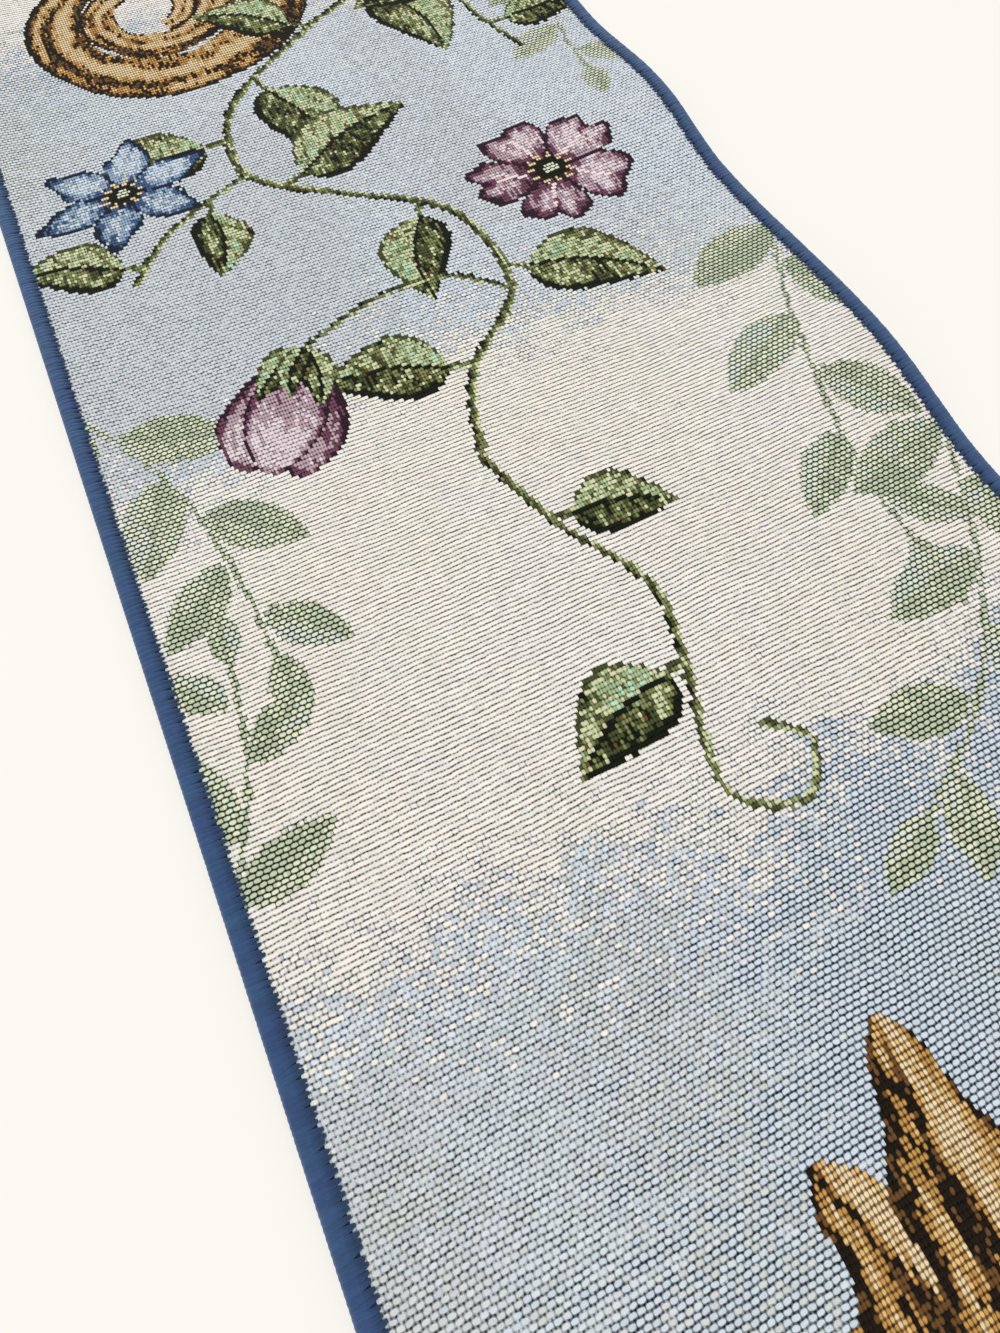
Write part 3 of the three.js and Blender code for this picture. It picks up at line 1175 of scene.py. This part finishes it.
def thread_material(settings):
    """Textured nylon overlock thread: crimped filaments that open into a soft fluff.

    The eye sees a matt, dense blue with fine streaks along each stitch, painted shade at the
    stitches' feet, and stitches that lean a little to teal or to violet.
    """
    material, tree = new_material("Textured nylon overlock thread")
    thread = add_node(tree, "Attribute", attribute_name=THREAD_MAP).outputs["Vector"]
    parts = add_node(tree, "SeparateXYZ", {"Vector": thread})
    along, number = parts.outputs["X"], parts.outputs["Z"]
    own = add_node(tree, "TexWhiteNoise", {"W": number}, noise_dimensions="1D")
    lightness = add_node(tree, "MapRange", {"Value": own, "To Min": 0.88, "To Max": 1.10})
    filaments = add_node(
        tree,
        "VectorMath",
        {0: thread, 1: (1 / FILAMENT_CRIMP, 1 / FILAMENT_WIDTH, NOISE_STEP)},
        operation="MULTIPLY",
    )
    fibre = add_node(
        tree, "TexNoise", {"Vector": filaments, "Scale": 1, "Detail": 3, "Roughness": 0.6}
    )
    streak = add_node(
        tree,
        "MapRange",
        {"Value": fibre, "From Min": 0.25, "From Max": 0.75, "To Min": 0.68, "To Max": 1.24},
    )
    value = add_node(tree, "Math", {0: lightness, 1: streak}, operation="MULTIPLY")
    # Painted shade: the thread darkens towards its foot on the face, where it dives into the
    # cloth.
    foot = add_node(
        tree,
        "MapRange",
        {
            "Value": along,
            "From Min": FOOT_SHADE_START,
            "From Max": FOOT_SHADE_END,
            "To Min": 1,
            "To Max": 0.6,
        },
    )
    value = add_node(tree, "Math", {0: value, 1: foot}, operation="MULTIPLY")
    run = add_node(
        tree, "TexNoise", {"W": number, "Scale": 0.11, "Detail": 2}, noise_dimensions="1D"
    )
    hue = add_node(
        tree,
        "MapRange",
        {"Value": run, "From Min": 0.3, "From Max": 0.7, "To Min": 0.494, "To Max": 0.508},
    )
    colour = add_node(
        tree, "HueSaturation", {"Hue": hue, "Value": value, "Color": (*settings.thread, 1)}
    )
    bump = add_node(tree, "Bump", {"Height": fibre, "Distance": 0.08 * MM, "Strength": 0.7})
    surface = add_node(
        tree,
        "BsdfPrincipled",
        {
            "Base Color": colour,
            "Roughness": 0.9,
            "Specular IOR Level": 0.2,
            "Sheen Weight": 0.23,
            "Sheen Roughness": 0.6,
            "Sheen Tint": (*settings.fluff, 1),
            "Normal": bump,
        },
    )
    add_node(tree, "OutputMaterial", {"Surface": surface})
    return material


def lower_thread_shade_material(settings):
    """The lower layer of the same thread, darkened as painted shade deep between the stitches.

    The eye sees it only as the near-navy notches at the stitches' inner ends.
    """
    material, tree = new_material("Overlock thread, lower layer")
    place = add_node(tree, "TexCoord").outputs["Object"]
    grain = add_node(tree, "TexNoise", {"Vector": place, "Scale": 1 / (0.9 * MM), "Detail": 3})
    value = add_node(
        tree,
        "MapRange",
        {"Value": grain, "From Min": 0.3, "From Max": 0.7, "To Min": 0.8, "To Max": 1.2},
    )
    colour = add_node(tree, "HueSaturation", {"Value": value, "Color": (*settings.shadow, 1)})
    bump = add_node(tree, "Bump", {"Height": grain, "Distance": 0.15 * MM, "Strength": 0.8})
    surface = add_node(
        tree,
        "BsdfPrincipled",
        {"Base Color": colour, "Roughness": 0.95, "Specular IOR Level": 0.1, "Normal": bump},
    )
    add_node(tree, "OutputMaterial", {"Surface": surface})
    return material


def floor_material(settings):
    """Matt cream card on a softly lit table, which leaves hardly any shadow.

    Half of what the eye sees is the light on the card and half is its own glow.
    """
    material, tree = new_material("Matt cream card, lit from below")
    place = add_node(tree, "TexCoord").outputs["Object"]
    mottle = add_node(tree, "TexNoise", {"Vector": place, "Scale": 1 / (80 * MM), "Detail": 4})
    value = add_node(
        tree,
        "MapRange",
        {"Value": mottle, "From Min": 0.3, "From Max": 0.7, "To Min": 0.347, "To Max": 0.353},
    )
    colour = add_node(tree, "HueSaturation", {"Value": value, "Color": (*settings.floor, 1)})
    surface = add_node(
        tree,
        "BsdfPrincipled",
        {
            "Base Color": colour,
            "Roughness": 1.0,
            "Specular IOR Level": 0.0,
            "Emission Color": (*settings.floor, 1),
            "Emission Strength": settings.floor_glow,
        },
    )
    add_node(tree, "OutputMaterial", {"Surface": surface})
    return material


# ---------------------------------------------------------------------------------------
# Pieces
# ---------------------------------------------------------------------------------------


def add_object(name, mesh, *materials):
    """Puts a mesh in the scene with its materials."""
    piece = bpy.data.objects.new(name, mesh)
    bpy.context.scene.collection.objects.link(piece)
    for material in materials:
        mesh.materials.append(material)
    return piece


def mesh_points(mesh):
    """A mesh's vertices as an array of places."""
    points = np.empty(3 * len(mesh.vertices), np.float32)
    mesh.vertices.foreach_get("co", points)
    return points.reshape(-1, 3).astype(float)


def set_mesh_points(mesh, points):
    """Moves a mesh's vertices to the given places."""
    mesh.vertices.foreach_set("co", points.astype(np.float32).ravel())
    mesh.update()


def weave_counts(weave):
    """Half stitches across the cloth and rows along it, whole faces of its mesh."""
    across = round(CLOTH_WIDTH / (weave.stitch / 2 * HALVES_PER_FACE))
    along = round(CLOTH_LENGTH / (weave.row * ROWS_PER_FACE))
    return across * HALVES_PER_FACE, along * ROWS_PER_FACE


def store_yarns(mesh, chart):
    """Gives each face of the cloth the yarn pairs of the eight cells that it covers."""
    rows, columns = chart.size
    centres = np.empty(3 * len(mesh.polygons), np.float32)
    mesh.polygons.foreach_get("center", centres)
    centres = centres.reshape(-1, 3)
    across = np.floor((centres[:, 0] / CLOTH_WIDTH + 0.5) * columns / HALVES_PER_FACE)
    along = np.floor((centres[:, 1] / CLOTH_LENGTH + 0.5) * rows / ROWS_PER_FACE)
    across = np.clip(across, 0, columns / HALVES_PER_FACE - 1).astype(int)
    along = np.clip(along, 0, rows / ROWS_PER_FACE - 1).astype(int)
    blocks = chart.yarn.reshape(rows // ROWS_PER_FACE, ROWS_PER_FACE, -1, HALVES_PER_FACE)
    for row, name in enumerate(("yarns_even", "yarns_odd")):
        middle_of_step = (blocks[along, row, across] + 0.5) / RAMP_STEPS
        layer = mesh.attributes.new(name, "FLOAT_COLOR", "FACE")
        layer.data.foreach_set("color", middle_of_step.astype(np.float32).ravel())


WANDER_SPACING = 16 * MM
WANDER_SIZE = 0.45 * MM


def wander(x, y):
    """How far the weave strays sideways from an exact grid, fading out at the edging."""
    place = Vector((x, y, 0)) / WANDER_SPACING
    inward = min(CLOTH_WIDTH / 2 - abs(x), CLOTH_LENGTH / 2 - abs(y))
    size = WANDER_SIZE * (1 - float(fade(inward / SETTLE)))
    return size * Vector((0.5 * noise.noise(place), noise.noise(place + Vector((0, 0, 9)))))


def cloth_mesh(columns, rows):
    """The cloth as one closed sheet: top, underside and cut edges."""
    bm = bmesh.new()
    bmesh.ops.create_grid(
        bm,
        x_segments=columns // HALVES_PER_FACE,
        y_segments=rows // ROWS_PER_FACE,
        size=0.5,
    )
    bmesh.ops.scale(bm, vec=(CLOTH_WIDTH, CLOTH_LENGTH, 1), verts=bm.verts)
    bmesh.ops.solidify(bm, geom=bm.faces[:], thickness=CLOTH_THICK)
    lowest = min(vert.co.z for vert in bm.verts)
    flat = bm.loops.layers.uv.new(FLAT_MAP)
    corner = Vector((CLOTH_WIDTH / 2, CLOTH_LENGTH / 2))
    for face in bm.faces:
        for loop in face.loops:
            loop[flat].uv = loop.vert.co.xy + corner
    for vert in bm.verts:
        x, y = vert.co.xy
        vert.co.xy += wander(x, y)
        vert.co.z += float(lift(x, y)) - lowest
    bmesh.ops.recalc_face_normals(bm, faces=bm.faces)
    for face in bm.faces:
        face.smooth = abs(face.normal.z) > 0.5
        face.material_index = 0 if face.normal.z > 0.5 else 1
    mesh = bpy.data.meshes.new("tapestry_cloth")
    bm.to_mesh(mesh)
    bm.free()
    return mesh


# Stations along one overlock stitch, from its foot on the face, over the cut edge, to its
# foot on the back: distance in from the outline, height over the cloth's underside, half
# its width along the edge and half its thickness, in millimetres.
Station = namedtuple("Station", "inset height half_width half_thick")
STITCH_MM = (
    Station(4.85, 1.20, 0.30, 0.13),
    Station(4.45, 1.42, 0.45, 0.21),
    Station(3.80, 1.60, 0.58, 0.27),
    Station(2.90, 1.70, 0.80, 0.30),
    Station(2.00, 1.71, 0.95, 0.32),
    Station(0.95, 1.58, 1.00, 0.33),
    Station(0.30, 0.98, 1.00, 0.30),
    Station(0.30, 0.22, 1.00, 0.30),
    Station(0.95, -0.38, 0.95, 0.33),
    Station(3.20, -0.48, 0.60, 0.31),
    Station(4.74, -0.16, 0.16, 0.14),
)
STITCH_SIDES = 8

# Section of the lower layer of thread, a C-shaped band that shows between the stitches, in
# their shadow, its dark colour painted shade: distance in from the outline and height over the
# cloth's underside.
SHADED_LOWER_LAYER_MM = (
    (4.55, 1.24),
    (4.40, 1.40),
    (3.40, 1.50),
    (1.10, 1.52),
    (0.48, 1.10),
    (0.48, 0.10),
    (1.10, -0.34),
    (4.20, -0.34),
    (4.30, -0.04),
    (1.30, -0.04),
    (1.30, 1.24),
)
LAYER_STEP = 3 * MM
LAYER_SHORT = 1.4 * MM  # the lower layer stops this far from either end of its run
CORNER_RADIUS = 3.5 * MM


def rolled_grid(bm, stations, sides, place):
    """A closed tube: a grid of stations by sides, rolled up by place(station, turn)."""
    made = bmesh.ops.create_grid(bm, x_segments=stations - 1, y_segments=sides, size=0.5)
    for vert in made["verts"]:
        station = round((vert.co.x + 0.5) * (stations - 1))
        side = round((vert.co.y + 0.5) * sides)
        vert.co = place(station, 2 * math.pi * side / sides)
    verts = made["verts"]
    bmesh.ops.remove_doubles(bm, verts=verts, dist=0.001 * MM)


def stitch_place(station, turn):
    """A point on the skin of a stitch that is still by itself.

    x is the distance in from the outline, y runs along the edge and z is the height over
    the cloth's underside.
    """
    here = STITCH_MM[station]
    before = STITCH_MM[max(station - 1, 0)]
    after = STITCH_MM[min(station + 1, len(STITCH_MM) - 1)]
    forward = Vector((after.inset - before.inset, 0, after.height - before.height))
    outward = Vector((0, 1, 0)).cross(forward.normalized())
    middle = Vector((here.inset, 0, here.height))
    skin = Vector((0, math.cos(turn) * here.half_width, 0))
    return MM * (middle + skin + outward * math.sin(turn) * here.half_thick)


def stitch_mesh():
    """One overlock stitch."""
    bm = bmesh.new()
    rolled_grid(bm, len(STITCH_MM), STITCH_SIDES, stitch_place)
    rims = [edge for edge in bm.edges if edge.is_boundary]
    bmesh.ops.holes_fill(bm, edges=rims, sides=0)
    bmesh.ops.recalc_face_normals(bm, faces=bm.faces)
    for face in bm.faces:
        face.smooth = True
    mesh = bpy.data.meshes.new("stitch")
    bm.to_mesh(mesh)
    bm.free()
    return mesh


def repeated(mesh, count, pitch):
    """A mesh repeated along Y, its first copy at the origin."""
    pattern = add_object("pattern", mesh)
    array = pattern.modifiers.new("Row", "ARRAY")
    array.count = count
    array.use_relative_offset = False
    array.use_constant_offset = True
    array.constant_offset_displace = (0, pitch, 0)
    bpy.context.view_layer.update()
    evaluated = pattern.evaluated_get(bpy.context.evaluated_depsgraph_get())
    row = bpy.data.meshes.new_from_object(evaluated)
    bpy.data.objects.remove(pattern)
    bpy.data.meshes.remove(mesh)
    return row


# How uneven the stitches are. On the face, between FACE_START and FACE_END in from the
# outline, each runs in a little further than its form, and more or less so, and leans. All
# along, it is shifted and is wider or thicker than the next by a share of its size.
FACE_START = 2 * MM
FACE_END = 4.7 * MM
FURTHER_IN = 0.30 * MM
UNEVEN_LENGTH = 0.32 * MM
UNEVEN_LEAN = 0.30 * MM
UNEVEN_PLACE = 0.10 * MM
UNEVEN_WIDTH = 0.08
UNEVEN_THICKNESS = 0.05


def stitch_row(settings, span, conform, rng):
    """A row of slightly uneven stitches over a span, laid on the edge by conform."""
    count = round(span / settings.pitch)
    pitch = span / count
    template = stitch_mesh()
    points_each = len(template.vertices)
    row = repeated(template, count, pitch)
    points = mesh_points(row)
    inset, along, height = points.T
    number = np.repeat(np.arange(count), points_each)
    local_along = along - number * pitch
    longer, leaning, fuller, shifted = rng.uniform(-1, 1, (4, count))[:, number]
    on_face = rise(inset, FACE_START, FACE_END)
    inset = inset + on_face * (UNEVEN_LENGTH * longer + FURTHER_IN)
    along = along + 0.5 * pitch - span / 2
    along = along + on_face * UNEVEN_LEAN * leaning + UNEVEN_PLACE * shifted
    along = along + UNEVEN_WIDTH * fuller * local_along
    middle = CLOTH_THICK / 2
    height = middle + (height - middle) * (1 + UNEVEN_THICKNESS * fuller)
    thread = row.attributes.new(THREAD_MAP, "FLOAT_VECTOR", "POINT")
    around = np.where(height > middle, local_along, -local_along)
    thread.data.foreach_set("vector", np.stack([inset + height, around, number], 1).ravel())
    set_mesh_points(row, conform(inset, along, height))
    return row


def shaded_lower_layer(bm, span, conform):
    """The band under the stitches, dark with painted shade: its section extruded along the run."""
    span = span - 2 * LAYER_SHORT
    bars = round(span / LAYER_STEP)
    bottom = [bm.verts.new((MM * x, 0, MM * z)) for x, z in SHADED_LOWER_LAYER_MM]
    face = bm.faces.new(bottom)
    verts = list(bottom)
    for _ in range(bars):
        made = bmesh.ops.extrude_face_region(bm, geom=[face])["geom"]
        fresh = [item for item in made if isinstance(item, bmesh.types.BMVert)]
        face = next(item for item in made if isinstance(item, bmesh.types.BMFace))
        bmesh.ops.translate(bm, verts=fresh, vec=(0, span / bars, 0))
        verts += fresh
    inner = [item for item in bm.faces if len(item.verts) == len(SHADED_LOWER_LAYER_MM)]
    bmesh.ops.delete(bm, geom=inner[1:-1], context="FACES_ONLY")
    for vert in verts:
        inset, along, height = vert.co
        vert.co = conform(np.array([inset]), np.array([along - span / 2]), np.array([height]))[0]
    bmesh.ops.recalc_face_normals(bm, faces=bm.faces)


def side_place(side):
    """Lays a run along one long side, with its two corners rounded."""

    def conform(inset, along, height):
        to_end = np.clip(STRIP_LENGTH / 2 - np.abs(along), 0, CORNER_RADIUS)
        rounding = CORNER_RADIUS - np.sqrt(CORNER_RADIUS**2 - (CORNER_RADIUS - to_end) ** 2)
        squeezed = inset + rounding * np.clip(1 - inset / EDGING_WIDTH, 0, 1)
        x = side * (STRIP_WIDTH / 2 - squeezed)
        return np.stack([x, along, height + lift(x, along)], 1)

    return conform


def end_place(end):
    """Lays a run across one end."""

    def conform(inset, along, height):
        y = end * (STRIP_LENGTH / 2 - inset)
        return np.stack([along, y, height + lift(along, y)], 1)

    return conform


def edging_piece(settings, name, span, conform, materials, rng):
    """One run of edging: the row of stitches and the lower layer under it, dark with painted
    shade, in one piece.
    """
    row = stitch_row(settings, span, conform, rng)
    bm = bmesh.new()
    shaded_lower_layer(bm, span, conform)
    # The lower layer takes the second material, the thread darkened as painted shade.
    for face in bm.faces:
        face.material_index = 1
    bm.from_mesh(row)
    bmesh.ops.recalc_face_normals(bm, faces=bm.faces)
    mesh = bpy.data.meshes.new(name)
    bm.to_mesh(mesh)
    bm.free()
    bpy.data.meshes.remove(row)
    return add_object(name, mesh, *materials)


# ---------------------------------------------------------------------------------------
# Operators
# ---------------------------------------------------------------------------------------

# The camera stands low over the strip and looks up along it.
CAMERA_PLACE = (-52.4 * MM, -41.2 * MM, 138.4 * MM)
CAMERA_TILT = 20  # degrees up from straight down
CAMERA_HEADING = -26  # degrees about Z
CAMERA_LENS = 17.85  # millimetres, on a sensor 36 mm wide

# The window's light comes from the strip's upper left.
WINDOW_PLACE = Vector((-0.7, 0.9, 1.2))
WINDOW_AIM = Vector((0, 0.08, 0))
WINDOW_SIZE = 0.8

FLOOR_SIZE = 6


def lay_floor(settings):
    """A plain floor at the height that the strip rests on."""
    bm = bmesh.new()
    bmesh.ops.create_grid(bm, x_segments=1, y_segments=1, size=FLOOR_SIZE / 2)
    mesh = bpy.data.meshes.new("floor")
    bm.to_mesh(mesh)
    bm.free()
    floor = add_object("floor", mesh, floor_material(settings))


def light_room(scene, settings):
    """Even light from all round, and one large soft window."""
    world = bpy.data.worlds.new("Soft studio")
    world.use_nodes = True
    background = world.node_tree.nodes["Background"]
    background.inputs["Color"].default_value = (1, 1, 1, 1)
    background.inputs["Strength"].default_value = settings.sky_light
    scene.world = world

    window = bpy.data.lights.new("window", "AREA")
    window.shape = "SQUARE"
    window.size = WINDOW_SIZE
    window.energy = settings.window_light
    lamp = bpy.data.objects.new("window", window)
    lamp.location = WINDOW_PLACE
    lamp.rotation_euler = (WINDOW_AIM - WINDOW_PLACE).to_track_quat("-Z", "Y").to_euler()
    scene.collection.objects.link(lamp)


def set_camera(scene):
    """The camera, and the view transform that keeps the yarns' colours as they are."""
    lens = bpy.data.cameras.new("camera")
    lens.sensor_width = 36
    lens.lens = CAMERA_LENS
    lens.clip_start = 5 * MM
    camera = bpy.data.objects.new("camera", lens)
    camera.location = CAMERA_PLACE
    camera.rotation_euler = (math.radians(CAMERA_TILT), 0, math.radians(CAMERA_HEADING))
    scene.collection.objects.link(camera)
    scene.camera = camera
    scene.view_settings.view_transform = "Standard"


class BELLPULL_OT_stage(bpy.types.Operator):
    """Lay the floor and set up the light and the camera"""

    bl_idname = "bellpull.stage"
    bl_label = "Stage"

    def execute(self, context):
        settings = context.scene.bellpull_stage
        lay_floor(settings)
        light_room(context.scene, settings)
        set_camera(context.scene)
        return {"FINISHED"}


class BELLPULL_OT_tapestry(bpy.types.Operator):
    """Weave the cloth, with its design charted cell by cell"""

    bl_idname = "bellpull.tapestry"
    bl_label = "Tapestry cloth"

    def execute(self, context):
        weave = context.scene.bellpull_weave
        columns, rows = weave_counts(weave)
        chart = Chart(columns, rows, weave.seed)
        paint_design(chart)
        mesh = cloth_mesh(columns, rows)
        store_yarns(mesh, chart)
        materials = (
            tapestry_material(weave, context.scene.bellpull_yarns, columns, rows),
            reverse_material(columns, rows),
        )
        cloth = add_object("tapestry_cloth", mesh, *materials)
        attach(cloth, "root")
        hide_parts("cloth")
        return {"FINISHED"}


class BELLPULL_OT_edging(bpy.types.Operator):
    """Sew the four runs of overlocked edging round the cloth"""

    bl_idname = "bellpull.edging"
    bl_label = "Overlocked edging"

    def execute(self, context):
        settings = context.scene.bellpull_edging
        rng = np.random.default_rng(settings.seed)
        materials = (thread_material(settings), lower_thread_shade_material(settings))
        between_sides = STRIP_WIDTH - 2 * EDGING_WIDTH
        runs = (
            ("right", STRIP_LENGTH, side_place(1)),
            ("left", STRIP_LENGTH, side_place(-1)),
            ("upper_end", between_sides, end_place(1)),
            ("lower_end", between_sides, end_place(-1)),
        )
        for name, span, conform in runs:
            piece_name = f"overlock_{name}"
            piece = edging_piece(settings, piece_name, span, conform, materials, rng)
            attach(piece, "root")
            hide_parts(f"edging_{name}")
        return {"FINISHED"}


# Each operator in the panel, with the groups of settings that it uses.
PANEL_ROWS = (
    ("bellpull.stage", ("bellpull_stage",)),
    ("bellpull.tapestry", ("bellpull_weave", "bellpull_yarns")),
    ("bellpull.edging", ("bellpull_edging",)),
)


class BELLPULL_PT_panel(bpy.types.Panel):
    """Lists the pieces and their settings"""

    bl_label = "Tapestry Bell Pull"
    bl_idname = "BELLPULL_PT_panel"
    bl_space_type = "VIEW_3D"
    bl_region_type = "UI"
    bl_category = "Bell Pull"

    def draw(self, context):
        layout = self.layout
        for operator, settings in PANEL_ROWS:
            box = layout.box()
            box.operator(operator)
            for group in settings:
                for name in getattr(context.scene, group).__annotations__:
                    box.prop(getattr(context.scene, group), name)


SETTINGS = {
    "bellpull_weave": WeaveSettings,
    "bellpull_yarns": YarnColours,
    "bellpull_edging": EdgingSettings,
    "bellpull_stage": StageSettings,
}

CLASSES = (
    *SETTINGS.values(),
    BELLPULL_OT_stage,
    BELLPULL_OT_tapestry,
    BELLPULL_OT_edging,
    BELLPULL_PT_panel,
)


def register():
    for cls in CLASSES:
        bpy.utils.register_class(cls)
    for name, group in SETTINGS.items():
        setattr(bpy.types.Scene, name, PointerProperty(type=group))


def unregister():
    for name in SETTINGS:
        delattr(bpy.types.Scene, name)
    for cls in reversed(CLASSES):
        bpy.utils.unregister_class(cls)


def main():
    register()
    bpy.ops.bellpull.stage()
    bpy.ops.bellpull.tapestry()
    bpy.ops.bellpull.edging()


if __name__ == "__main__":
    main()
